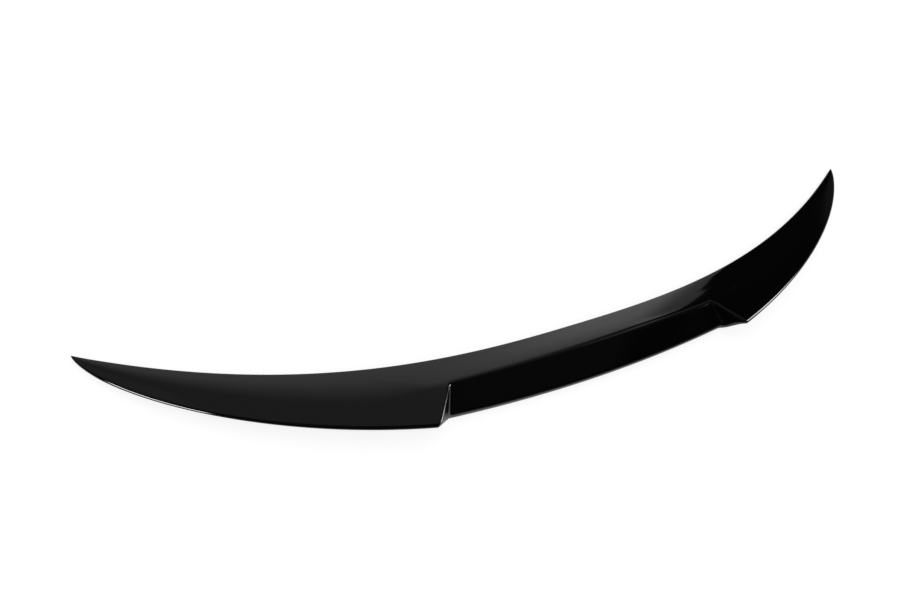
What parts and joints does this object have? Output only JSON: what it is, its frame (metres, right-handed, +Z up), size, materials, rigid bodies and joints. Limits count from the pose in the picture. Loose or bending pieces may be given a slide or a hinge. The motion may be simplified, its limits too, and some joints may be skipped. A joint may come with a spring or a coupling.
{
  "type": "boot lid spoiler",
  "caption": "Slim crescent rear spoiler for a car's boot lid, with pointed tips, a stepped middle recess, a thin front lip and a ribbed hollow underside.",
  "frame": {"origin": "middle of the underside of the bounding box, on the floor that the part rests on", "axes": "+X across the car to its right side, +Y to the front of the car, +Z up; tips point forward, the recess opens to the rear"},
  "size_m": [1.2062, 0.2038, 0.0327],
  "materials": {
    "gloss_black": "gloss black lacquer over moulded plastic"
  },
  "bodies": {
    "root": {"spoiler": "gloss_black"}
  },
  "joints": []
}
